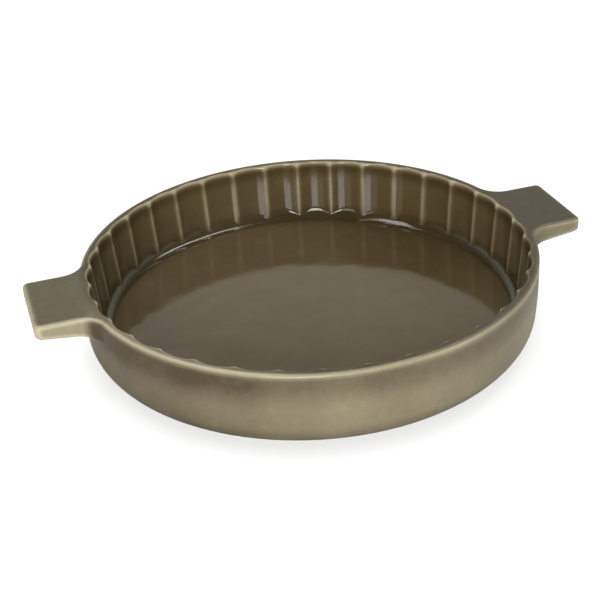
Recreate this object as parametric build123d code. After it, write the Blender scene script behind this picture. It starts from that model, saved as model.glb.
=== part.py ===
from build123d import *
import os
from math import atan2, cos, hypot, pi, sin, sqrt

# Fluted quiche dish: a round stoneware dish with upright fluted sides and two flat lug handles.
# The clay is one thick body with a handle luted on at each side, under two coats of glaze:
# one inside, over the floor and the flutes, and one over the outside, the rim and the handles.
# Millimetres, +Z up, +X along the handles, origin on the table under the middle of the dish.
# All sizes are those of the glazed dish. A skin of one coat of glaze gives the clay under it.

# Outside of the dish
rim_radius = 150.0
dish_height = 53.5
straight_wall = 17.0
belly_round = 240.0
foot_round = 17.5
rim_round = 2.2

# Inside of the dish
floor_height = 8.6
cove_round = 10.0
cove_bite = 0.1
flute_count = 36
ridge_wall = 7.3
flute_depth = 2.2
ridge_round = 3.5
hollow_lean = 3.5
lip_round = 2.0

# Foot, left bare of glaze
foot_ring_height = 1.1
foot_ring_width = 9.0
foot_recess = 2.2
foot_edge_round = 0.6

# Handles, one at each end of the X axis
handle_reach = 34.0
handle_width = 61.0
handle_tip_depth = 9.5
handle_root_depth = 13.75
handle_corner_round = 4.0
handle_root_round = 11.0
handle_seat_depth = 10.0
handle_root_bite = 0.4

# Glaze
glaze = 0.5

# How far a cutter runs past what it cuts
overrun = 3.0

# Places that follow from the sizes above
belly_height = dish_height - straight_wall
belly_centre = rim_radius - belly_round
belly_drop = belly_height - foot_round
foot_centre = belly_centre + sqrt((belly_round - foot_round) ** 2 - belly_drop**2)
belly_turn = atan2(belly_drop, foot_centre - belly_centre)
foot_ring_radius = foot_centre + sqrt(foot_round**2 - (foot_round - foot_ring_height) ** 2)
foot_core_height = foot_round / 2
ridge_radius = rim_radius - ridge_wall
flute_radius = ridge_radius + flute_depth
half_flute = pi / flute_count
handle_tip = rim_radius + handle_reach
handle_slope = (handle_root_depth - handle_tip_depth) / handle_reach


def on_circle(centre, radius, angle):
    """The point at an angle on a circle."""
    return (centre[0] + radius * cos(angle), centre[1] + radius * sin(angle))


def arc_between(centre, radius, start, end):
    """The arc of a circle from one angle to another."""
    return ThreePointArc(
        on_circle(centre, radius, start),
        on_circle(centre, radius, (start + end) / 2),
        on_circle(centre, radius, end),
    )


def round_form(skin):
    """The dish without handles or hollow: upright at the rim, then a soft belly and a round foot."""
    wall = rim_radius - skin
    top = dish_height - skin
    rim = arc_between((wall - rim_round + skin, top - rim_round + skin), rim_round - skin, pi / 2, 0)
    belly = arc_between((belly_centre, belly_height), belly_round - skin, 0, -belly_turn)
    foot = arc_between((foot_centre, foot_round), foot_round - skin, -belly_turn, -pi / 2)
    outline = [
        Line((0, top), rim @ 0),
        rim,
        Line(rim @ 1, belly @ 0),
        belly,
        foot,
        Line(foot @ 1, (0, skin)),
        Line((0, skin), (0, top)),
    ]
    return revolve(Plane.XZ * Face(Wire(outline)), Axis.Z)


def handle_plan(skin):
    """A handle seen from above: parallel sides that flare into the curve of the wall."""
    seat = rim_radius - handle_seat_depth
    half_width = handle_width / 2 - skin
    wide = 2 * rim_radius
    wall = Circle(rim_radius - handle_root_bite - skin)
    wall -= Pos(seat, 0) * Rectangle(wide, wide, align=(Align.MAX, Align.CENTER))
    lug = Rectangle(handle_tip - skin - seat, 2 * half_width, align=(Align.MIN, Align.CENTER))
    plan = wall + Pos(seat, 0) * lug
    plan = fillet(plan.vertices().group_by(Axis.X)[-1], handle_corner_round - skin)
    inner = [v for v in plan.vertices() if seat < v.X < rim_radius]
    roots = sorted(inner, key=lambda v: abs(abs(v.Y) - half_width))[:2]
    return fillet(roots, handle_root_round + skin)


def handle_form(skin):
    """A handle with its root inside the wall: flat on top, thinner to the tip, round edges."""
    blank = extrude(handle_plan(skin), dish_height - skin)
    rise = skin * hypot(1, handle_slope)
    tip_height = dish_height - handle_tip_depth + rise
    root_height = tip_height - handle_slope * handle_tip
    past_tip = handle_tip + overrun
    past_height = tip_height + handle_slope * overrun
    under = Polygon(
        (0, -overrun),
        (past_tip, -overrun),
        (past_tip, past_height),
        (0, root_height),
        align=None,
    )
    blank -= extrude(Plane.XZ * under, amount=rim_radius, both=True)
    seat = rim_radius - handle_seat_depth
    level = blank.edges() - blank.edges().filter_by(Axis.Z)
    edges = [e for e in level if e.center().X > seat + handle_root_bite]
    return fillet(edges, rim_round - skin)


def lean_scale(height):
    """The size of the fluted outline at a height, where its size at the rim is 1."""
    depth_share = (dish_height - height) / (dish_height - floor_height)
    return 1 - depth_share * hollow_lean / ridge_radius


def flute_outline(height, skin):
    """The fluted outline of the hollow: wide hollow arcs that meet in small round ridges."""
    scale = lean_scale(height)
    ridge_centre = ridge_radius + ridge_round
    ridge_x = ridge_centre * cos(half_flute)
    ridge_y = ridge_centre * sin(half_flute)
    reach = ridge_centre**2 + flute_radius**2 - 2 * ridge_x * flute_radius - ridge_round**2
    flute_round = reach / (2 * (flute_radius - ridge_x + ridge_round))
    flute_centre = flute_radius - flute_round
    swing = atan2(ridge_y, ridge_x - flute_centre)
    big = flute_round * scale + skin
    small = ridge_round * scale - skin
    edges = []
    for number in range(flute_count):
        middle = 2 * number * half_flute
        ahead = middle + 2 * half_flute
        centre = on_circle((0, 0), flute_centre * scale, middle)
        next_centre = on_circle((0, 0), flute_centre * scale, ahead)
        flute = arc_between(centre, big, middle - swing, middle + swing)
        crest = on_circle((0, 0), ridge_centre * scale - small, middle + half_flute)
        ridge = ThreePointArc(flute @ 1, crest, on_circle(next_centre, big, ahead - swing))
        edges += [flute, ridge]
    return Pos(0, 0, height) * Face(Wire(edges))


def fluted_column(bottom, skin):
    """The fluted outline drawn up from a height to past the rim, wider to the top."""
    return loft([flute_outline(bottom, skin), flute_outline(dish_height + overrun, skin)], ruled=True)


def hollow_form(skin):
    """The hollow of the dish: the fluted column on a flat floor with a coved edge.

    The cove is as wide as the flutes at its top, so that it cuts the ridges and not the flutes.
    """
    floor = floor_height - skin
    cove = cove_round + skin
    side = flute_radius * lean_scale(floor_height + cove_round) + cove_bite + skin
    bend = arc_between((side - cove, floor + cove), cove, -pi / 2, 0)
    past_rim = dish_height + 2 * overrun
    past_side = rim_radius
    outline = [
        Line((0, floor), bend @ 0),
        bend,
        Line(bend @ 1, (past_side, past_rim)),
        Line((past_side, past_rim), (0, past_rim)),
        Line((0, past_rim), (0, floor)),
    ]
    bowl = revolve(Plane.XZ * Face(Wire(outline)), Axis.Z)
    return bowl & fluted_column(floor - overrun, skin)


def hollow_skin(skin):
    """The faces of the hollow with its rounded lip, and the wire where the lip meets the rim."""
    top = dish_height - skin
    bottom = floor_height - skin - overrun
    align = (Align.CENTER, Align.CENTER, Align.MIN)
    block = Pos(0, 0, bottom) * Cylinder(rim_radius, top - bottom, align=align)
    cup = block - hollow_form(skin)
    land = cup.faces().sort_by(Axis.Z)[-1]
    cup = fillet(land.inner_wires()[0].edges(), lip_round - skin)
    levels = cup.faces().sort_by(Axis.Z)
    faces = [face for face in levels[1:-1] if face.geom_type != GeomType.CYLINDER]
    return faces, levels[-1].inner_wires()[0]


def closed_solid(faces):
    """The solid inside a closed set of faces."""
    return Solid(Shell(faces))


def foot_cylinder(radius, height):
    """An upright cylinder that stands on the table, under the middle of the dish."""
    return Cylinder(radius, height, align=(Align.CENTER, Align.CENTER, Align.MIN))


def make_dish_body(clay_skin):
    """The clay dish: fluted wall, floor and foot ring."""
    hollow_faces, lip = clay_skin
    foot = foot_cylinder(foot_ring_radius, foot_core_height)
    foot = fillet(foot.edges().group_by(Axis.Z)[0], foot_edge_round)
    recess = Pos(0, 0, -overrun) * foot_cylinder(foot_ring_radius - foot_ring_width, foot_recess + overrun)
    *outside, top = (round_form(glaze) + foot - recess).faces().sort_by(Axis.Z)
    rim = Face(top.outer_wire(), [lip])
    return closed_solid(outside + hollow_faces + [rim])


def make_right_handle():
    """The clay lug at the +X end, luted face to face to the outside of the wall."""
    return handle_form(glaze) - round_form(glaze)


def make_inner_glaze(clay_skin):
    """The coat on the floor, the flutes and the lip, between the glazed hollow and the clay."""
    clay_faces, clay_lip = clay_skin
    glazed_faces, glazed_lip = hollow_skin(0)
    edge = loft([Face(clay_lip), Face(glazed_lip)], ruled=True)
    return closed_solid(glazed_faces + clay_faces + edge.faces().sort_by(Axis.Z)[1:-1])


def make_outer_glaze():
    """The coat on the rim, the wall and the handles, down to the bare foot."""
    glazed, clay = (
        round_form(skin) + handle_form(skin) + handle_form(skin).mirror(Plane.YZ) for skin in (0, glaze)
    )
    coat = glazed - clay - foot_cylinder(foot_ring_radius, foot_core_height)
    return coat - fluted_column(dish_height - 2 * glaze, lip_round)


def main():
    """Write each piece to its own file."""
    clay_skin = hollow_skin(glaze)
    right_handle = make_right_handle()
    pieces = {
        "dish_body": make_dish_body(clay_skin),
        "left_handle": right_handle.mirror(Plane.YZ),
        "right_handle": right_handle,
        "inner_glaze": make_inner_glaze(clay_skin),
        "outer_glaze": make_outer_glaze(),
    }
    os.makedirs("parts", exist_ok=True)
    for name, piece in pieces.items():
        export_step(piece, f"parts/{name}.step")


main()
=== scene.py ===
import math

import bpy
import numpy as np
from mathutils import Matrix, Vector


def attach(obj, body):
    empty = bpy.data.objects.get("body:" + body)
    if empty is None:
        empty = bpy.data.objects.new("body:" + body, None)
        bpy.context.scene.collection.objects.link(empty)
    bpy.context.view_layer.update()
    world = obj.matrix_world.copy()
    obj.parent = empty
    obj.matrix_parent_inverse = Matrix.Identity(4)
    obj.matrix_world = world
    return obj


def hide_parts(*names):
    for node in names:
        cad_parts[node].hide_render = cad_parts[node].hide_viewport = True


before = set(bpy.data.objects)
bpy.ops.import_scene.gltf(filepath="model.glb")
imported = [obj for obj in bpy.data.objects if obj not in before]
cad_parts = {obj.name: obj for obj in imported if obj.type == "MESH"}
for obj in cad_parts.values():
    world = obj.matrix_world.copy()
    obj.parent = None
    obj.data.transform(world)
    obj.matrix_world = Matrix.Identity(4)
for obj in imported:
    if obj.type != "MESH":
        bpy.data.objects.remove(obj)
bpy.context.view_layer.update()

# Fluted quiche dish in glazed stoneware. The clay dish and its two lugs are the model's own solids.
# The two coats of glaze are drawn here as closed skins, so that the ridges run out softly into the
# cove and the handles flare softly into the wall. Each point of a skin knows how thinly the glaze
# lies there, with painted light and shade added in places, and the materials tint it by that.
# Sizes are millimetres until a mesh is made, and metres in Blender.
MM = 0.001

# Outside of the dish, down to the bare foot
RIM_RADIUS = 150.0
DISH_HEIGHT = 53.5
BELLY_HEIGHT = 36.5
BELLY_ROUND = 240.0
FOOT_ROUND = 17.5
RIM_ROUND = 2.2
BARE_FOOT = 1.1

# Inside of the dish
FLOOR_HEIGHT = 8.6
COVE_ROUND = 10.0
FLUTE_COUNT = 36
RIDGE_RADIUS = 142.7
FLUTE_DEPTH = 2.2
RIDGE_ROUND = 3.5
HOLLOW_LEAN = 3.5
LIP_ROUND = 2.0

# Handles
HANDLE_TIP = 184.0
HANDLE_HALF_WIDTH = 30.5
HANDLE_TIP_DEPTH = 9.5
HANDLE_ROOT_DEPTH = 13.75
HANDLE_CORNER_ROUND = 4.0
HANDLE_ROOT_ROUND = 11.0
HANDLE_UNDER_ROUND = 3.5

# Depth of a coat of glaze
GLAZE = 0.5

# Places that follow from the sizes
FLUTE_RADIUS = RIDGE_RADIUS + FLUTE_DEPTH
HALF_FLUTE = math.pi / FLUTE_COUNT
RIDGE_CENTRE = RIDGE_RADIUS + RIDGE_ROUND
RIDGE_X = RIDGE_CENTRE * math.cos(HALF_FLUTE)
RIDGE_Y = RIDGE_CENTRE * math.sin(HALF_FLUTE)
FLUTE_REACH = RIDGE_CENTRE**2 + FLUTE_RADIUS**2 - 2 * RIDGE_X * FLUTE_RADIUS - RIDGE_ROUND**2
FLUTE_ROUND = FLUTE_REACH / (2 * (FLUTE_RADIUS - RIDGE_X + RIDGE_ROUND))
FLUTE_CENTRE = FLUTE_RADIUS - FLUTE_ROUND
SWING = math.atan2(RIDGE_Y, RIDGE_X - FLUTE_CENTRE)
COVE_TOP = FLOOR_HEIGHT + COVE_ROUND
WALL_TOP = DISH_HEIGHT - LIP_ROUND
LEAN = HOLLOW_LEAN / (DISH_HEIGHT - FLOOR_HEIGHT) / RIDGE_RADIUS
COVE_SCALE = 1 - LEAN * (DISH_HEIGHT - COVE_TOP)
FLOOR_EDGE = FLUTE_RADIUS * COVE_SCALE - COVE_ROUND
BELLY_CENTRE = RIM_RADIUS - BELLY_ROUND
BELLY_DROP = BELLY_HEIGHT - FOOT_ROUND
FOOT_CENTRE = BELLY_CENTRE + math.sqrt((BELLY_ROUND - FOOT_ROUND) ** 2 - BELLY_DROP**2)
BELLY_TURN = math.atan2(BELLY_DROP, FOOT_CENTRE - BELLY_CENTRE)
HANDLE_SLOPE = (HANDLE_ROOT_DEPTH - HANDLE_TIP_DEPTH) / (HANDLE_TIP - RIM_RADIUS)

# How softly the ridges run out into the cove, and from which share of its turn up that fades out
RIDGE_END_BLEND = 0.8
RIDGE_END_FADES = 0.6

# The heights over a handle's underside between which the fillet at its root grows from the small
# one underneath to the wide one at the sides
HANDLE_ROOT_GROWS = (-3.5, 0.5)

# Columns of points round the dish, closer together where the handles are
FLUTE_STEPS = 16
RIDGE_STEPS = 8
HANDLE_REFINE = 3
HANDLE_FLUTES = 3

# Rows of points of the inner glaze: shares of the floor's radius, then counts over the rest
FLOOR_SHARES = (0.6, 0.8, 0.92, 0.985)
COVE_ROWS = 20
WALL_ROWS = 12
LIP_ROWS = 8
LAST_ROW = 4.0

# Rows of points of the outer glaze, from the lip to the foot, as shares or counts
LAND_SHARES = (0, 0.05, 0.14, 0.3, 0.5, 0.7, 0.86, 0.95, 1)
RIM_ROWS = 7
SIDE_ROWS = 5
UNDER_EDGE_ROWS = 6
UNDER_SHARES = (0.15, 0.3, 0.45, 0.6, 0.72, 0.82, 0.9, 0.95, 1)
BELLY_ROWS = 6
BELLY_ROWS_END = 24.5
FOOT_ROWS = 12

# How the outer glaze's points are pulled onto its surface: rounds, least slope and longest step
PULL_ROUNDS = 8
PULL_SLOPE = 0.2
PULL_LIMIT = 2

# How thinly the glaze lies, with painted light and shade added: 0 where it has pooled, 1 where it
# has run off an edge and the clay shows through. A pair tells where a change starts and ends, as
# heights, rows, slopes or places along X or Y. The differences from side to side are those of the
# photograph, and are painted light and shade, as are all values named shade, light or highlight.
# Inside: the floor, the cove, the flutes, the ridges and the lip
INNER_THIN = 0.3
# Depth of the glaze pooled in the cove, and of the painted shade under the lip
POOL_AND_SHADE_DEPTH = 0.75
POOL_TOP = (12.0, 20.0)
# Painted shade: a band under the lip drawn darker up to the top, and where it starts
LIP_SHADE_DEPTH = 0.9
LIP_SHADE_START = (40.0, 47.0)
FLOOR_THINNER = 0.13
FLOOR_END_ROWS = (1.0, 1.2)
# Painted shade: the back right of the floor darker
FLOOR_SHADE = 0.2
FLOOR_SHADE_X = (10.0, 100.0)
FLOOR_SHADE_Y = (-60.0, 40.0)
# Painted shade: the right flutes and the left flutes darker. Painted light: the flutes a little left of
# the middle paler
RIGHT_FLUTES_SHADE = 0.06
RIGHT_FLUTES_X = (100.0, 140.0)
LEFT_FLUTES_SHADE = 0.05
LEFT_FLUTES_X = (-115.0, -50.0)
MIDDLE_FLUTES_LIGHT = 0.06
MIDDLE_FLUTES_X = -25
MIDDLE_FLUTES_WIDTH = 60
RIDGE_THINNER = 0.46
RIDGE_LINE_WIDTH = 1.9
RIDGE_LINE_START = (11.0, 13.0)
LIP_THINNER = 0.76
LIP_START = (49.5, 52.6)
# Painted shade: the top of the lip darker everywhere but on the near left, and the near right lip less
# pale
LIP_END_ROWS = (3.5, 4.0)
LIP_END_SHADE = 0.9
LIP_RIGHT_SHADE = 0.5

# Outside: the wall, the handles, their edges and the rim
OUTER_THIN = 0.24
# Painted light: a paler band on the lower wall, with painted shade under the rim and at the foot
BELLY_LIGHT = 0.25
BELLY_LIGHT_TOP = (28.0, 46.0)
BELLY_LIGHT_FOOT = (2.0, 19.0)
HANDLE_START = (-2.0, 6.0)
# Handles' sides paler where their glaze lies thinly, the left one more so by painted light
LEFT_HANDLE_THIN_AND_LIGHT = 0.38
RIGHT_HANDLE_THIN_AND_LIGHT = 0.19
# Painted shade on the left and the near right of the wall, painted light on the near half of its right
# end
LEFT_WALL_SHADE = 0.3
LEFT_WALL_X = (-140.0, -10.0)
LEFT_WALL_Y = (-12.0, 40.0)
RIGHT_WALL_SHADE = 0.03
RIGHT_WALL_X = (-50.0, 20.0)
RIGHT_WALL_Y = (-130.0, -100.0)
RIGHT_END_LIGHT = 0.14
RIGHT_END_X = (85.0, 115.0)
RIGHT_END_Y = (-20.0, 40.0)
# Painted light on the left handle's top
LEFT_HANDLE_TOP_LIGHT = 0.17
HANDLE_TOP_START = (-8.0, 0.0)
UPRIGHT_SLOPES = (0.2, 0.8)
FLAT_SLOPES = (0.45, 0.9)
EDGE_REACH = 1.4
EDGE_MOST = 0.85
EDGE_START = (44.0, 48.0)
# Painted shade: the edges less pale toward the right, and the flat top of the rim on the near right
EDGE_RIGHT_SHADE = 0.42
EDGE_RIGHT_X = (20.0, 110.0)
RIM_RIGHT_SHADE = 0.65
# Painted highlight: a pale line round the near right of the rim, its height and width
RIM_LINE_HIGHLIGHT = 0.3
RIM_LINE_HEIGHT = 50.6
RIM_LINE_WIDTH = 1.8
# Painted highlight on the flat top of the rim on the near left
RIM_LEFT_HIGHLIGHT = 0.45

# The near side of the dish, and its left and right parts
NEAR_Y = (-60.0, 0.0)
NEAR_LEFT_X = (-100.0, -40.0)
NEAR_RIGHT_X = (0.0, 45.0)


def smooth_step(low, high, value):
    """0 below low, 1 above high, and soft between."""
    share = np.clip((value - low) / (high - low), 0, 1)
    return share * share * (3 - 2 * share)


def soft_min(a, b, width):
    """The lesser of two values, rounded off where they are closer than width."""
    near = np.maximum(width - np.abs(a - b), 0) / width
    return np.minimum(a, b) - near * near * width / 4


def flute_ring():
    """The places along the fluted outline at which both glazes have a column of points."""
    marks = []
    for flute in range(FLUTE_COUNT):
        turns = (flute + HANDLE_FLUTES // 2) % (FLUTE_COUNT // 2)
        refine = HANDLE_REFINE if turns < HANDLE_FLUTES else 1
        steps = (FLUTE_STEPS + RIDGE_STEPS) * refine
        marks += [flute + step / steps for step in range(steps)]
    return np.array(marks)


def flute_plan(mark):
    """The point at a mark of the fluted outline and its direction into the clay."""
    flute = np.floor(mark)
    share = mark - flute
    flute_share = FLUTE_STEPS / (FLUTE_STEPS + RIDGE_STEPS)
    in_flute = share < flute_share
    turn = SWING * (2 * share / flute_share - 1)
    ridge_turn = SWING - HALF_FLUTE
    back = ridge_turn * (1 - 2 * (share - flute_share) / (1 - flute_share))
    middle = 2 * HALF_FLUTE * flute
    crest = middle + HALF_FLUTE
    angle = np.where(in_flute, middle + turn, crest + back)
    centre_angle = np.where(in_flute, middle, crest)
    centre = np.where(in_flute, FLUTE_CENTRE, RIDGE_CENTRE)
    radius = np.where(in_flute, FLUTE_ROUND, -RIDGE_ROUND)
    normal = np.stack([np.cos(angle), np.sin(angle)], -1)
    place = np.stack([centre * np.cos(centre_angle), centre * np.sin(centre_angle)], -1)
    return place + radius[..., None] * normal, normal


def inner_point(mark, row):
    """A point of the inner glaze: row 0 to 1 floor, 1 to 2 cove, 2 to 3 wall, 3 to 4 lip."""
    plan, normal = flute_plan(mark)
    radius = np.hypot(plan[..., 0], plan[..., 1])
    ray = plan / radius[..., None]
    floor_share = np.clip(row, 0, 1)
    cove_share = np.clip(row - 1, 0, 1)
    wall_share = np.clip(row - 2, 0, 1)
    lip_share = np.clip(row - 3, 0, 1)

    turn = -math.pi / 2 * (1 - cove_share)
    column = (radius * COVE_SCALE - FLOOR_EDGE) / (np.cos(turn) - radius * LEAN * np.sin(turn))
    # Never quite 0, since soft_min divides by it
    blend = RIDGE_END_BLEND * (1.001 - smooth_step(RIDGE_END_FADES, 1, cove_share))
    reach = soft_min(column, COVE_ROUND, blend)
    cove_r = FLOOR_EDGE + reach * np.cos(turn)
    cove_z = COVE_TOP + reach * np.sin(turn)

    wall_z = COVE_TOP + (WALL_TOP - COVE_TOP) * wall_share
    wall_r = radius * (1 - LEAN * (DISH_HEIGHT - wall_z))

    r = np.where(row < 1, FLOOR_EDGE * floor_share, np.where(row < 2, cove_r, wall_r))
    z = np.where(row < 1, FLOOR_HEIGHT, np.where(row < 2, cove_z, wall_z))
    bend = math.pi / 2 * lip_share
    out = LIP_ROUND * (1 - np.cos(bend))
    xy = ray * r[..., None] + normal * out[..., None]
    z = z + LIP_ROUND * np.sin(bend)
    return np.concatenate([xy, z[..., None]], -1)


def round_union(a, b, radius):
    """The distance to two joined forms with a hollow fillet between them."""
    u = np.maximum(radius - a, 0)
    v = np.maximum(radius - b, 0)
    return np.maximum(radius, np.minimum(a, b)) - np.hypot(u, v)


def round_common(a, b, radius):
    """The distance to what two forms share, with a rounded edge."""
    u = np.maximum(radius + a, 0)
    v = np.maximum(radius + b, 0)
    return np.minimum(-radius, np.maximum(a, b)) + np.hypot(u, v)


def under_height(x):
    """The height of a handle's sloping underside."""
    return DISH_HEIGHT - HANDLE_TIP_DEPTH - HANDLE_SLOPE * (HANDLE_TIP - x)


def row_under_height(xy):
    """The height of the rows that follow a handle's underside, level once they are on the wall."""
    return under_height(np.maximum(np.abs(xy[:, 0]), RIM_RADIUS - HANDLE_ROOT_ROUND))


def outer_distance(p):
    """How far a point is from the outside of the glazed dish, negative in the clay."""
    x, y, z = np.abs(p[..., 0]), np.abs(p[..., 1]), p[..., 2]
    r = np.hypot(x, y)
    drop = BELLY_HEIGHT - z
    belly = np.hypot(r - BELLY_CENTRE, drop) - BELLY_ROUND
    foot = np.hypot(r - FOOT_CENTRE, z - FOOT_ROUND) - FOOT_ROUND
    turn = np.arctan2(drop, r - BELLY_CENTRE)
    wall = np.where(drop < 0, r - RIM_RADIUS, np.where(turn < BELLY_TURN, belly, foot))
    qx = x - (HANDLE_TIP - HANDLE_CORNER_ROUND)
    qy = y - (HANDLE_HALF_WIDTH - HANDLE_CORNER_ROUND)
    corner = np.hypot(np.maximum(qx, 0), np.maximum(qy, 0))
    plan = corner + np.minimum(np.maximum(qx, qy), 0) - HANDLE_CORNER_ROUND
    above = z - under_height(x)
    under = -above / math.hypot(1, HANDLE_SLOPE)
    lug = round_common(plan, under, RIM_ROUND)
    spread = smooth_step(*HANDLE_ROOT_GROWS, above)
    root = HANDLE_UNDER_ROUND + (HANDLE_ROOT_ROUND - HANDLE_UNDER_ROUND) * spread
    return round_common(round_union(wall, lug, root), z - DISH_HEIGHT, RIM_ROUND)


def outer_slope(p, step=0.02):
    """The gradient of the outer distance, by small steps along each axis."""
    slopes = [outer_distance(p + axis) - outer_distance(p - axis) for axis in np.eye(3) * step]
    return np.stack(slopes, -1) / (2 * step)


# A handle's flare into the wall: the middle of its arc, and how far round the dish it ends
FLARE_Y = HANDLE_HALF_WIDTH + HANDLE_ROOT_ROUND
FLARE_X = math.sqrt((RIM_RADIUS + HANDLE_ROOT_ROUND) ** 2 - FLARE_Y**2)
FLARE_END = math.atan2(FLARE_Y, FLARE_X)


def handle_outline(share):
    """The outline of a handle and its flares from above, at a share of its length, and its normal."""
    flare_turn = math.pi / 2 - FLARE_END
    flare = HANDLE_ROOT_ROUND * flare_turn
    side = HANDLE_TIP - HANDLE_CORNER_ROUND - FLARE_X
    corner = HANDLE_CORNER_ROUND * math.pi / 2
    tip = HANDLE_HALF_WIDTH - HANDLE_CORNER_ROUND
    half = flare + side + corner + tip
    sign = np.sign(share - 0.5)
    along = (1 - np.abs(2 * share - 1)) * half
    side_run = np.clip(along - flare, 0, side)
    tip_run = np.clip(along - flare - side - corner, 0, tip)
    bend = FLARE_END + flare_turn * np.clip(along / flare, 0, 1)
    turn = math.pi / 2 * (1 - np.clip((along - flare - side) / corner, 0, 1))
    parts = [along < flare, along < flare + side]
    nx = np.select(parts, [np.cos(bend), 0.0], np.cos(turn))
    ny = np.select(parts, [np.sin(bend), 1.0], np.sin(turn))
    corner_x = HANDLE_TIP - HANDLE_CORNER_ROUND * (1 - nx)
    corner_y = HANDLE_HALF_WIDTH - HANDLE_CORNER_ROUND * (1 - ny) - tip_run
    x = np.select(parts, [FLARE_X - HANDLE_ROOT_ROUND * nx, FLARE_X + side_run], corner_x)
    y = np.select(parts, [FLARE_Y - HANDLE_ROOT_ROUND * ny, HANDLE_HALF_WIDTH], corner_y)
    return np.stack([x, sign * y], -1), np.stack([nx, sign * ny], -1)


def outer_rows(marks):
    """The rows of points of the outer glaze, from the lip over the rim and down to the foot."""
    lip = inner_point(marks, np.full(marks.shape, LAST_ROW))[:, :2]
    angle = np.arctan2(lip[:, 1], lip[:, 0])
    ray = np.stack([np.cos(angle), np.sin(angle)], -1)
    side = np.where(np.cos(angle) < 0, -1.0, 1.0)
    turned = np.arctan2(np.sin(angle), np.abs(np.cos(angle)))
    plan, normal = handle_outline(np.clip((turned / FLARE_END + 1) / 2, 0, 1))
    plan[:, 0] *= side
    normal[:, 0] *= side
    on_handle = (np.abs(turned) < FLARE_END)[:, None]
    wall = ray * RIM_RADIUS
    edge = np.where(on_handle, plan, wall)
    normal = np.where(on_handle, normal, ray)
    inset = edge - normal * RIM_ROUND
    rows = []

    def add(xy, z):
        rows.append(np.concatenate([xy, np.broadcast_to(z, xy.shape[:1])[:, None]], -1))

    for share in LAND_SHARES:
        add(lip + (inset - lip) * share, DISH_HEIGHT)
    for step in range(1, RIM_ROWS + 1):
        bend = math.pi / 2 * step / RIM_ROWS
        out = inset + normal * RIM_ROUND * math.sin(bend)
        add(out, DISH_HEIGHT - RIM_ROUND * (1 - math.cos(bend)))
    top = DISH_HEIGHT - RIM_ROUND
    low = row_under_height(edge) + RIM_ROUND
    for step in range(1, SIDE_ROWS + 1):
        add(edge, top + (low - top) * step / SIDE_ROWS)
    for step in range(1, UNDER_EDGE_ROWS + 1):
        bend = math.pi / 2 * step / UNDER_EDGE_ROWS
        add(inset + normal * RIM_ROUND * math.cos(bend), low - RIM_ROUND * math.sin(bend))
    for share in UNDER_SHARES:
        xy = inset + (wall - inset) * share
        add(xy, row_under_height(xy) - HANDLE_UNDER_ROUND * share**3)
    last = rows[-1][:, 2]
    for step in range(1, BELLY_ROWS + 1):
        add(wall, last + (BELLY_ROWS_END - last) * step / BELLY_ROWS)
    ring = math.acos((FOOT_ROUND - BARE_FOOT) / FOOT_ROUND)
    for step in range(1, FOOT_ROWS + 1):
        bend = (math.pi / 2 - ring) * step / FOOT_ROWS
        z = FOOT_ROUND - FOOT_ROUND * math.sin(bend)
        add(ray * (FOOT_CENTRE + FOOT_ROUND * math.cos(bend)), z)
    return pulled(np.stack(rows))


def pulled(points):
    """The rows of the outer glaze on its surface. The lip stays, and so does the foot's height."""
    lip = points[0].copy()
    foot_height = points[-1, :, 2].copy()
    for _ in range(PULL_ROUNDS):
        gap = outer_distance(points)
        slope = outer_slope(points)
        step = gap[..., None] * slope / np.maximum((slope**2).sum(-1), PULL_SLOPE)[..., None]
        points -= np.clip(step, -PULL_LIMIT, PULL_LIMIT)
    points[0] = lip
    points[-1, :, 2] = foot_height
    return points


def unit(vectors):
    """Vectors at length 1."""
    return vectors / np.maximum(np.linalg.norm(vectors, axis=-1), 1e-9)[..., None]


def make_skin(name, points, normals, thin_and_light, node, capped=False):
    """A closed coat from rows of points: its face, its back one coat deep, and its edges.

    A capped coat has a face over its first row, front and back, in place of an edge.
    """
    rows, columns, _ = points.shape
    shift = rows * columns
    back = points - normals * GLAZE
    grid = np.arange(shift).reshape(rows, columns)
    ahead = np.roll(grid, -1, axis=1)
    quads = np.stack([grid[:-1], grid[1:], ahead[1:], ahead[:-1]], -1).reshape(-1, 4)
    behind = quads[:, ::-1] + shift
    last = np.stack([ahead[-1], grid[-1], grid[-1] + shift, ahead[-1] + shift], -1)
    if capped:
        first = [grid[0].tolist(), (grid[0, ::-1] + shift).tolist()]
    else:
        first = np.stack([grid[0], ahead[0], ahead[0] + shift, grid[0] + shift], -1).tolist()
    faces = np.concatenate([quads, behind, last]).tolist() + first
    places = np.concatenate([points.reshape(-1, 3), back.reshape(-1, 3)]) * MM
    directions = np.concatenate([normals.reshape(-1, 3), -normals.reshape(-1, 3)])
    mesh = bpy.data.meshes.new(name)
    mesh.from_pydata(places.tolist(), [], faces)
    mesh.update()
    mesh.shade_smooth()
    mesh.normals_split_custom_set_from_vertices(directions.tolist())
    layer = mesh.attributes.new("thin_and_light", "FLOAT", "POINT")
    layer.data.foreach_set("value", np.concatenate([thin_and_light.ravel(), thin_and_light.ravel()]))
    piece = bpy.data.objects.new(name, mesh)
    bpy.context.scene.collection.objects.link(piece)
    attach(piece, "root")
    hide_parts(node)
    return piece


def hill(value, middle, width):
    """1 where a value is at the middle, and less on both sides of it."""
    return np.exp(-(((value - middle) / width) ** 2))


def near_sides(x, y):
    """How far points are on the near left and on the near right of the dish, from 0 to 1."""
    near = 1 - smooth_step(*NEAR_Y, y)
    left = near * (1 - smooth_step(*NEAR_LEFT_X, x))
    right = near * smooth_step(*NEAR_RIGHT_X, x)
    return left, right


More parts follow.
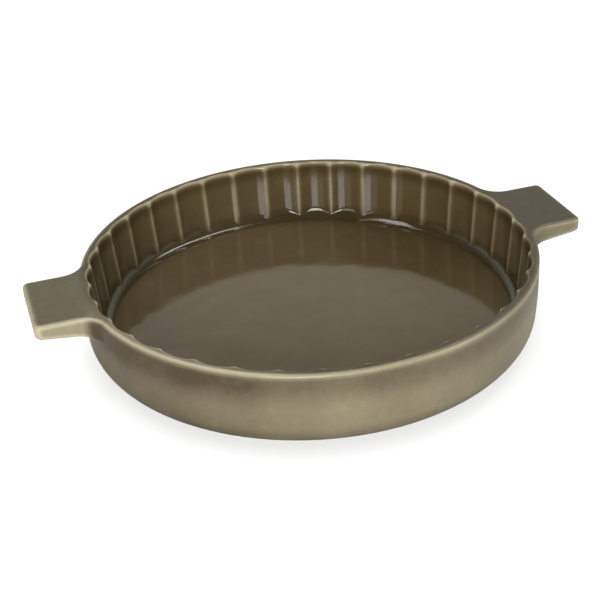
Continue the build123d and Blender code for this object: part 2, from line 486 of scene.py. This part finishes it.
def inner_thinness_and_light(points, row):
    """Thinnest on ridges and lip, pooled in the cove, even on the floor, with painted light and shade.
    """
    x, y, height = np.moveaxis(points, -1, 0)
    near_left, near_right = near_sides(x, y)
    angle = np.arctan2(y, x)
    off_crest = np.abs(np.mod(angle / HALF_FLUTE, 2) - 1) * HALF_FLUTE * RIDGE_RADIUS
    ridge = hill(off_crest, 0, RIDGE_LINE_WIDTH) * smooth_step(*RIDGE_LINE_START, height)
    lip = smooth_step(*LIP_START, height)
    # Painted shade: the top of the lip darker but on the near left, and the near right lip less pale
    lip *= 1 - LIP_END_SHADE * (1 - near_left) * smooth_step(*LIP_END_ROWS, row)
    lip *= 1 - LIP_RIGHT_SHADE * near_right
    # Painted shade: a band under the lip is drawn darker, added to the glaze pooled in the cove
    shade_under_lip = LIP_SHADE_DEPTH * smooth_step(*LIP_SHADE_START, height)
    pool_and_shade = 1 - smooth_step(*POOL_TOP, height) * (1 - shade_under_lip)
    floor = 1 - smooth_step(*FLOOR_END_ROWS, row)
    # Painted shade on the back right of the floor
    back_right = smooth_step(*FLOOR_SHADE_X, x) * smooth_step(*FLOOR_SHADE_Y, y)
    on_floor = FLOOR_THINNER - FLOOR_SHADE * back_right
    # Painted light on the flutes a little left of the middle, painted shade on the right and left
    # flutes
    on_flutes = MIDDLE_FLUTES_LIGHT * hill(x, MIDDLE_FLUTES_X, MIDDLE_FLUTES_WIDTH)
    on_flutes -= INNER_THIN * POOL_AND_SHADE_DEPTH * pool_and_shade
    on_flutes -= RIGHT_FLUTES_SHADE * smooth_step(*RIGHT_FLUTES_X, x)
    on_flutes -= LEFT_FLUTES_SHADE * (1 - smooth_step(*LEFT_FLUTES_X, x))
    plain = INNER_THIN + floor * on_floor + (1 - floor) * on_flutes
    return np.clip(plain + RIDGE_THINNER * ridge + LIP_THINNER * lip, 0, 1)


def outer_thinness_and_light(points, normals):
    """Thinnest on the rim, handles and every edge, thicker on the wall, with painted light and shade.
    """
    x, y, height = np.moveaxis(points, -1, 0)
    near_left, near_right = near_sides(x, y)
    upright = 1 - smooth_step(*UPRIGHT_SLOPES, normals[..., 2])
    flat = smooth_step(*FLAT_SLOPES, normals[..., 2])
    left = x < 0
    out = np.abs(x) - RIM_RADIUS
    on_handle = smooth_step(*HANDLE_START, out)
    on_wall = 1 - on_handle

    # Painted light: the wall paler around its lower middle, fading toward the rim and the foot, which
    # stay darker as painted shade
    belly = (1 - smooth_step(*BELLY_LIGHT_TOP, height)) * smooth_step(*BELLY_LIGHT_FOOT, height)
    # Painted shade on the left and the near right of the wall, painted light on the near half of its
    # right end
    left_wall = (1 - smooth_step(*LEFT_WALL_X, x)) * (1 - smooth_step(*LEFT_WALL_Y, y))
    right_wall = smooth_step(*RIGHT_WALL_X, x) * (1 - smooth_step(*RIGHT_WALL_Y, y))
    right_end = smooth_step(*RIGHT_END_X, x) * (1 - smooth_step(*RIGHT_END_Y, y))
    side = OUTER_THIN + BELLY_LIGHT * belly
    # The handles' narrow sides are thinly glazed and paler; the left one is paler still by painted
    # light
    side += np.where(left, LEFT_HANDLE_THIN_AND_LIGHT, RIGHT_HANDLE_THIN_AND_LIGHT) * on_handle
    side -= LEFT_WALL_SHADE * left_wall * on_wall
    side -= RIGHT_WALL_SHADE * right_wall * on_wall
    side += RIGHT_END_LIGHT * right_end * on_wall

    # Painted light on the left handle's top, and a painted highlight on the rim's flat top on the near
    # left
    handle_top = smooth_step(*HANDLE_TOP_START, out) * (1 - upright)
    top = np.where(left, LEFT_HANDLE_TOP_LIGHT, 0.0) * handle_top
    top += RIM_LEFT_HIGHLIGHT * near_left * flat * on_wall

    # The glaze runs off what bends outwards. There, the six points around a place lie further
    # outside the dish on average than the place itself.
    bend = -6 * outer_distance(points)
    for axis in np.eye(3) * EDGE_REACH:
        bend += outer_distance(points + axis) + outer_distance(points - axis)
    edge = np.clip(bend / EDGE_REACH, 0, EDGE_MOST)
    edge *= np.maximum(on_handle, smooth_step(*EDGE_START, height))
    # Painted shade: the edges less pale toward the right, and the rim's flat top on the near right.
    # Painted highlight: a pale line round the near right of the rim
    edge *= 1 - EDGE_RIGHT_SHADE * smooth_step(*EDGE_RIGHT_X, x)
    edge *= 1 - RIM_RIGHT_SHADE * near_right * flat
    rim_line = hill(height, RIM_LINE_HEIGHT, RIM_LINE_WIDTH) * on_wall
    edge += RIM_LINE_HIGHLIGHT * near_right * rim_line
    return np.clip(side * upright + top + edge, 0, 1)


def make_inner_glaze():
    """The glossy coat on the floor, the flutes and the lip."""
    cove = 1 + np.arange(COVE_ROWS) / COVE_ROWS
    wall = 2 + np.arange(WALL_ROWS) / WALL_ROWS
    lip = 3 + np.arange(LIP_ROWS + 1) / LIP_ROWS
    mark, row = np.meshgrid(flute_ring(), np.concatenate([FLOOR_SHARES, cove, wall, lip]))
    points = inner_point(mark, row)
    tiny = 1e-4
    along = inner_point(mark + tiny, row) - inner_point(mark - tiny, row)
    low = np.where(row <= 1, row, row - tiny)
    high = np.where(row >= LAST_ROW, row, row + tiny)
    up = inner_point(mark, high) - inner_point(mark, low)
    normals = unit(np.cross(up, along))
    normals[row <= 1] = (0, 0, 1)
    thin_and_light = inner_thinness_and_light(points, row)
    return make_skin("inner_glaze_coat", points, normals, thin_and_light, "inner_glaze", True)


def make_outer_glaze():
    """The satin coat on the rim, the wall and the handles."""
    points = outer_rows(flute_ring())
    normals = unit(outer_slope(points))
    thin_and_light = outer_thinness_and_light(points, normals)
    return make_skin("outer_glaze_coat", points, normals, thin_and_light, "outer_glaze")


def colour(text):
    """An sRGB hex colour as a linear colour."""
    values = [int(text[place : place + 2], 16) / 255 for place in (1, 3, 5)]
    linear = [v / 12.92 if v <= 0.04045 else ((v + 0.055) / 1.055) ** 2.4 for v in values]
    return (*linear, 1.0)


def add_node(tree, kind, settings=None, links=None, stops=None, **attributes):
    """A node with its settings and incoming links by socket, and its colour stops as (place, hex)."""
    node = tree.nodes.new(kind)
    for key, value in attributes.items():
        setattr(node, key, value)
    for key, value in (settings or {}).items():
        node.inputs[key].default_value = value
    for key, source in (links or {}).items():
        tree.links.new(source, node.inputs[key])
    if stops:
        elements = node.color_ramp.elements
        elements[0].position, elements[1].position = stops[0][0], stops[-1][0]
        for place, _ in stops[1:-1]:
            elements.new(place)
        for element, (_, tint) in zip(elements, stops):
            element.color = colour(tint)
    return node


def new_material(name):
    """An empty node material and its tree."""
    material = bpy.data.materials.new(name)
    material.use_nodes = True
    material.node_tree.nodes.clear()
    return material, material.node_tree


def clouded_thinness_and_light(tree, patterns):
    """How thinly the glaze lies, with its painted light and shade, stirred by clouds of a size in
    millimetres, a detail and a share.

    Gives the thinness, the clouds and the place they are drawn at. A cloud goes from 0 to 1 around
    0.5, so half of its share comes off again.
    """
    place = add_node(tree, "ShaderNodeTexCoord").outputs["Object"]
    thin_and_light = add_node(tree, "ShaderNodeAttribute", attribute_name="thin_and_light").outputs["Fac"]
    clouds = []
    for size, detail, share in patterns:
        scale = {"Scale": 1 / (size * MM), "Detail": detail}
        cloud = add_node(tree, "ShaderNodeTexNoise", scale, {"Vector": place}).outputs["Fac"]
        links = {0: cloud, 2: thin_and_light}
        more = add_node(tree, "ShaderNodeMath", {1: share}, links, operation="MULTIPLY_ADD").outputs[0]
        links = {0: more}
        thin_and_light = add_node(tree, "ShaderNodeMath", {1: share / 2}, links, operation="SUBTRACT").outputs[0]
        clouds.append(cloud)
    return thin_and_light, clouds, place


def glossy_olive_glaze():
    """A glossy olive brown glaze, poured into the dish and fired until it ran.

    The eye sees it dark where it pooled and pale where it broke over the ridges and the lip. It is
    cloudy over two centimetres or so and finely mottled, and its skin swells a little like water,
    which bends the mirror images. The real specks are about 0.3 mm. Those don't show in the render,
    so they are drawn 0.9 mm wide.
    """
    material, tree = new_material("glossy_olive_glaze")
    # Wide clouds, mottling and specks
    patterns = ((22.0, 2.0, 0.16), (3.5, 3.0, 0.1), (0.9, 2.0, 0.08))
    thin_and_light, (wide, fine, _), place = clouded_thinness_and_light(tree, patterns)
    # The tint follows the glaze's thinness, with the painted light and shade that the skin carries
    stops = ((0.0, "#453a24"), (0.3, "#675839"), (0.45, "#736448"), (0.7, "#9a8e6e"), (1.0, "#c9bf9d"))
    tint = add_node(tree, "ShaderNodeValToRGB", links={0: thin_and_light}, stops=stops)
    swell_size = {"Scale": 1 / (14.0 * MM), "Detail": 0.0}
    swell = add_node(tree, "ShaderNodeTexNoise", swell_size, {"Vector": place})
    swell_depth = {"Strength": 0.35, "Distance": 0.35 * MM}
    soft = add_node(tree, "ShaderNodeBump", swell_depth, {"Height": swell.outputs["Fac"]})
    mottle_depth = {"Strength": 0.3, "Distance": 0.03 * MM}
    skin = add_node(tree, "ShaderNodeBump", mottle_depth, {"Height": fine, "Normal": soft.outputs[0]})
    sheen = add_node(tree, "ShaderNodeMapRange", {"To Min": 0.05, "To Max": 0.13}, {"Value": wide})
    links = {"Base Color": tint.outputs[0], "Roughness": sheen.outputs[0], "Normal": skin.outputs[0]}
    glaze = add_node(tree, "ShaderNodeBsdfPrincipled", {"IOR": 1.52}, links)
    add_node(tree, "ShaderNodeOutputMaterial", links={"Surface": glaze.outputs[0]})
    return material


def satin_olive_glaze():
    """The same olive glaze, sprayed thinly on the outside and fired to a satin skin.

    The eye sees it greyer and softer than the inside, with blurred highlights, and pale over the
    rim and the handles' edges. Its specks are drawn 1 mm wide, since the real ones of about 0.3 mm
    don't show in the render.
    """
    material, tree = new_material("satin_olive_glaze")
    # Wide clouds, mottling and specks
    patterns = ((28.0, 2.0, 0.22), (5.0, 3.0, 0.14), (1.0, 2.0, 0.1))
    thin_and_light, (wide, fine, _), _ = clouded_thinness_and_light(tree, patterns)
    # The tint follows the glaze's thinness, with the painted light and shade that the skin carries
    stops = ((0.0, "#53462f"), (0.4, "#8f8569"), (1.0, "#cfc6a5"))
    tint = add_node(tree, "ShaderNodeValToRGB", links={0: thin_and_light}, stops=stops)
    skin = add_node(tree, "ShaderNodeBump", {"Strength": 0.35, "Distance": 0.06 * MM}, {"Height": fine})
    sheen = add_node(tree, "ShaderNodeMapRange", {"To Min": 0.26, "To Max": 0.42}, {"Value": wide})
    links = {"Base Color": tint.outputs[0], "Roughness": sheen.outputs[0], "Normal": skin.outputs[0]}
    glaze = add_node(tree, "ShaderNodeBsdfPrincipled", {"IOR": 1.5}, links)
    add_node(tree, "ShaderNodeOutputMaterial", links={"Surface": glaze.outputs[0]})
    return material


def bare_stoneware():
    """Buff stoneware, pressed, wiped with a sponge and fired without glaze.

    The eye sees it dry and matt, with a fine sandy grain. The real grains of about 0.5 mm don't
    show in the render, so they are drawn 1.5 mm wide.
    """
    material, tree = new_material("bare_stoneware")
    place = add_node(tree, "ShaderNodeTexCoord").outputs["Object"]
    size = {"Scale": 1 / (1.5 * MM), "Detail": 3.0}
    grain = add_node(tree, "ShaderNodeTexNoise", size, {"Vector": place}).outputs["Fac"]
    stops = ((0.3, "#b3a488"), (0.7, "#c9bb9f"))
    tint = add_node(tree, "ShaderNodeValToRGB", links={0: grain}, stops=stops)
    sand = add_node(tree, "ShaderNodeBump", {"Strength": 0.3, "Distance": 0.1 * MM}, {"Height": grain})
    links = {"Base Color": tint.outputs[0], "Normal": sand.outputs[0]}
    clay = add_node(tree, "ShaderNodeBsdfPrincipled", {"Roughness": 0.85}, links)
    add_node(tree, "ShaderNodeOutputMaterial", links={"Surface": clay.outputs[0]})
    return material


def paint(piece, material):
    """Gives a whole piece one material."""
    piece.data.materials.clear()
    piece.data.materials.append(material)


# The photograph's view, from a fit of the rim, the foot and the ridges: pixels, millimetres, degrees
PICTURE_WIDTH = 600
FOCAL_PIXELS = 1228.26
CAMERA_DISTANCE = 821.65
CAMERA_TARGET_HEIGHT = 26.8
CAMERA_AZIMUTH = -16.934
CAMERA_ELEVATION = 29.167
CAMERA_ROLL = 3.128
CAMERA_YAW = -0.497
CAMERA_PITCH = -0.669
SENSOR_WIDTH = 36.0
NEAREST_SEEN = 10.0


def yaw_of(degrees):
    """A turn of the view to the side, on its right, up and forward rows."""
    c, s = math.cos(math.radians(degrees)), math.sin(math.radians(degrees))
    return Matrix(((c, 0, -s), (0, 1, 0), (s, 0, c)))


def pitch_of(degrees):
    """A turn of the view up or down, on the same rows."""
    c, s = math.cos(math.radians(degrees)), math.sin(math.radians(degrees))
    return Matrix(((1, 0, 0), (0, c, -s), (0, s, c)))


def roll_of(degrees):
    """A turn of the view about its own line of sight, on the same rows."""
    c, s = math.cos(math.radians(degrees)), math.sin(math.radians(degrees))
    return Matrix(((c, -s, 0), (s, c, 0), (0, 0, 1)))


def make_camera():
    """The camera at the photograph's place."""
    azimuth = math.radians(CAMERA_AZIMUTH)
    elevation = math.radians(CAMERA_ELEVATION)
    level = math.cos(elevation)
    out = Vector((math.sin(azimuth) * level, -math.cos(azimuth) * level, math.sin(elevation)))
    forward = -out
    right = forward.cross(Vector((0, 0, 1))).normalized()
    up = right.cross(forward)
    turned = roll_of(CAMERA_ROLL) @ pitch_of(CAMERA_PITCH) @ yaw_of(CAMERA_YAW)
    right, up, forward = (Vector(row) for row in turned @ Matrix((right, up, forward)))
    turn = Matrix((right, up, -forward)).transposed()
    data = bpy.data.cameras.new("camera")
    data.sensor_width = SENSOR_WIDTH
    data.lens = FOCAL_PIXELS / PICTURE_WIDTH * SENSOR_WIDTH
    data.clip_start = NEAREST_SEEN * MM
    camera = bpy.data.objects.new("camera", data)
    place = out * CAMERA_DISTANCE * MM + Vector((0, 0, CAMERA_TARGET_HEIGHT * MM))
    camera.matrix_world = Matrix.Translation(place) @ turn.to_4x4()
    bpy.context.scene.collection.objects.link(camera)
    bpy.context.scene.camera = camera


# Studio, in metres and watts. The floor is lit paper near the dish, where the shadow lies, and
# glows white further out. SHADOW_FADES is how far from the dish's middle it starts and ends to glow,
# and FLOOR_GLOWS is the share of glow that is seen there.
FLOOR_REACH = 4.0
FLOOR_GLOW = 1.15
SHADOW_FADES = (0.136, 0.174)
FLOOR_GLOWS = (0.58, 0.98)

# The studio around the dish by height, where 0 is the horizon and all below it, 0.5 is 30 degrees
# up and 1 is straight overhead. A bright band lies about 25 degrees up, where the dish's glossy floor
# mirrors it to the camera, and it is dim overhead. All of it is strong toward SKY_BRIGHT_SIDE, the
# back and a little to the right, and weak on the near side. SKY_TURNS is how far toward that side
# it changes from the one of SKY_STRENGTHS to the other.
SKY_STOPS = (
    (0.0, "#a4a7a0"),
    (0.28, "#b4b7b0"),
    (0.43, "#f0f4ec"),
    (0.5, "#d0d4ca"),
    (0.56, "#b2b4ab"),
    (0.66, "#7a7a75"),
    (1.0, "#565654"),
)
SKY_BRIGHT_SIDE = (0.5, 1.0, 0.0)
SKY_TURNS = (-0.65, 0.3)
SKY_STRENGTHS = (0.2, 1.02)

# Softboxes: name, place, the point it faces, width and height, power
SOFTBOXES = (
    ("front_light", (-0.7, -1.72, 0.55), (0, 0, 0.03), (0.7, 0.9), 22),
    ("left_light", (-1.25, -1.3, 0.55), (0, 0, 0.03), (0.6, 0.9), 4),
    ("top_light", (-0.5, 0.5, 1.8), (0, 0, 0), (1.0, 0.3), 5),
    ("right_light", (0.94, 0.34, 1.85), (0, 0, 0), (0.3, 0.9), 7),
)


def between(inputs, outputs):
    """The settings of a map range node that turns one pair of values into another."""
    return {"From Min": inputs[0], "From Max": inputs[1], "To Min": outputs[0], "To Max": outputs[1]}


def studio_white():
    """White background paper, smooth and matt: it keeps a soft shadow and runs out into white."""
    material, tree = new_material("studio_white")
    matt = {"Base Color": colour("#f3f3f3"), "Roughness": 0.9, "Specular IOR Level": 0.0}
    paper = add_node(tree, "ShaderNodeBsdfPrincipled", matt)
    white = add_node(tree, "ShaderNodeEmission", {"Strength": FLOOR_GLOW})
    place = add_node(tree, "ShaderNodeTexCoord").outputs["Object"]
    reach = add_node(tree, "ShaderNodeVectorMath", links={0: place}, operation="LENGTH")
    fade = between(SHADOW_FADES, FLOOR_GLOWS)
    links = {"Value": reach.outputs["Value"]}
    glow = add_node(tree, "ShaderNodeMapRange", fade, links, interpolation_type="SMOOTHSTEP")
    # Only the camera sees the glow, so that the dish is lit by plain paper
    seen = add_node(tree, "ShaderNodeLightPath").outputs["Is Camera Ray"]
    share = add_node(tree, "ShaderNodeMath", links={0: seen, 1: glow.outputs[0]}, operation="MULTIPLY")
    links = {0: share.outputs[0], 1: paper.outputs[0], 2: white.outputs[0]}
    mix = add_node(tree, "ShaderNodeMixShader", links=links)
    add_node(tree, "ShaderNodeOutputMaterial", links={"Surface": mix.outputs[0]})
    return material


def make_floor():
    """The paper the dish stands on."""
    corners = [(x * FLOOR_REACH, y * FLOOR_REACH, 0) for x, y in ((-1, -1), (1, -1), (1, 1), (-1, 1))]
    mesh = bpy.data.meshes.new("studio_floor")
    mesh.from_pydata(corners, [], [(0, 1, 2, 3)])
    floor = bpy.data.objects.new("studio_floor", mesh)
    bpy.context.scene.collection.objects.link(floor)
    paint(floor, studio_white())


def add_softbox(name, place, target, size, power):
    """A soft square lamp that faces a point."""
    data = bpy.data.lights.new(name, "AREA")
    data.shape = "RECTANGLE"
    data.size, data.size_y = size
    data.energy = power
    lamp = bpy.data.objects.new(name, data)
    lamp.location = place
    lamp.rotation_euler = (Vector(target) - Vector(place)).to_track_quat("-Z", "Y").to_euler()
    bpy.context.scene.collection.objects.link(lamp)


def make_light():
    """The studio around the dish, which the camera sees as plain white, and its softboxes."""
    world = bpy.data.worlds.new("studio")
    bpy.context.scene.world = world
    world.use_nodes = True
    tree = world.node_tree
    tree.nodes.clear()
    way = add_node(tree, "ShaderNodeTexCoord").outputs["Generated"]
    height = add_node(tree, "ShaderNodeSeparateXYZ", links={0: way}).outputs["Z"]
    sky = add_node(tree, "ShaderNodeValToRGB", links={0: height}, stops=SKY_STOPS)
    side = {1: SKY_BRIGHT_SIDE}
    bright = add_node(tree, "ShaderNodeVectorMath", side, {0: way}, operation="DOT_PRODUCT")
    links = {"Value": bright.outputs["Value"]}
    strength = add_node(tree, "ShaderNodeMapRange", between(SKY_TURNS, SKY_STRENGTHS), links)
    links = {"Color": sky.outputs[0], "Strength": strength.outputs[0]}
    studio = add_node(tree, "ShaderNodeBackground", links=links)
    white = add_node(tree, "ShaderNodeBackground", {"Color": colour("#ffffff"), "Strength": 1.0})
    seen = add_node(tree, "ShaderNodeLightPath").outputs["Is Camera Ray"]
    links = {0: seen, 1: studio.outputs[0], 2: white.outputs[0]}
    mix = add_node(tree, "ShaderNodeMixShader", links=links)
    add_node(tree, "ShaderNodeOutputWorld", links={"Surface": mix.outputs[0]})
    for softbox in SOFTBOXES:
        add_softbox(*softbox)


inner = make_inner_glaze()
outer = make_outer_glaze()
paint(inner, glossy_olive_glaze())
paint(outer, satin_olive_glaze())
stoneware = bare_stoneware()
for node_name in ("dish_body", "left_handle", "right_handle"):
    paint(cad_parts[node_name], stoneware)

make_floor()
make_light()
make_camera()
bpy.context.scene.view_settings.view_transform = "Standard"
